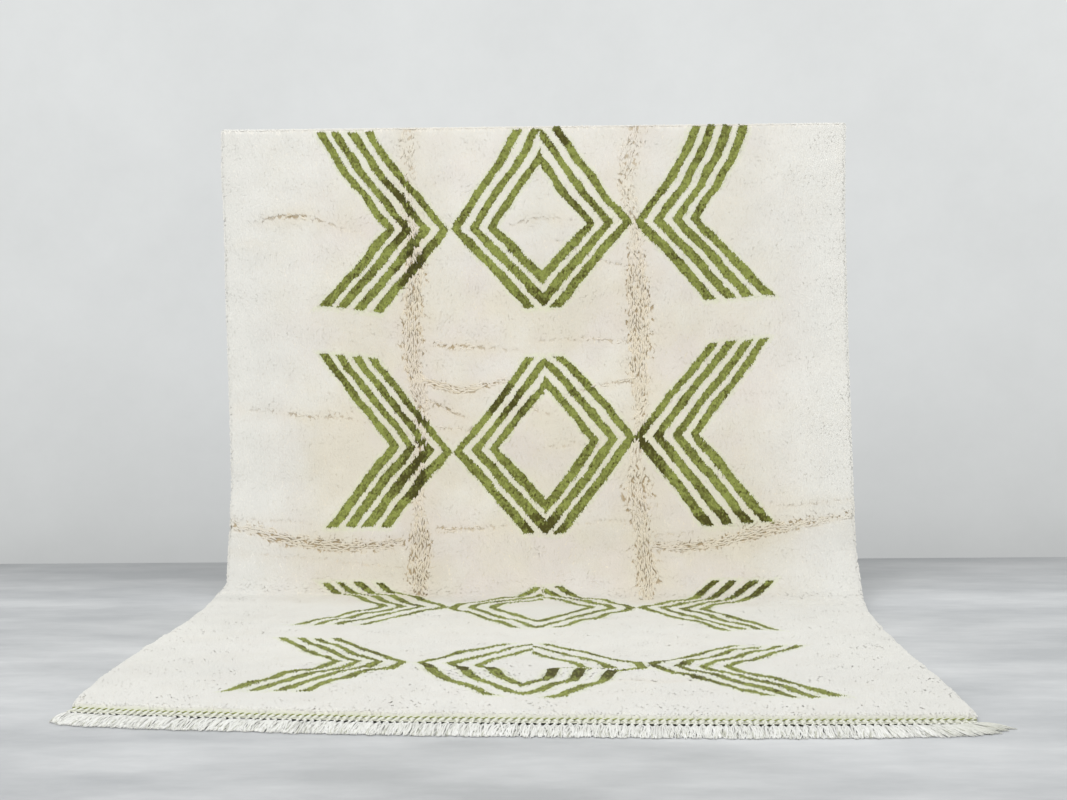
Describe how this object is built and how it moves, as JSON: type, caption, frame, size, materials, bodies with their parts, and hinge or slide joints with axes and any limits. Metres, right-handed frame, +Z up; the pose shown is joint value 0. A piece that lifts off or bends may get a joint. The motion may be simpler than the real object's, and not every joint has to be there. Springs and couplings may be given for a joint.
{
  "type": "beni ourain rug",
  "caption": "Shaggy ivory wool rug with rows of olive lozenges and chevrons, hung from its top edge with its foot and knotted fringe lying on the floor.",
  "frame": {"origin": "middle of the rug's top edge, at the back of its weave, where something above holds it", "axes": "+X across the rug to the right as it is seen, +Y away from the viewer behind the rug, +Z up; the floor part runs towards -Y"},
  "size_m": [2.0643, 1.6878, 1.529],
  "materials": {
    "pile": "long ivory wool pile with olive green figures, matt",
    "warp": "undyed plied wool warp ends, matt"
  },
  "bodies": {
    "root": {"pile_rug": "pile", "fringe": "warp"}
  },
  "joints": []
}
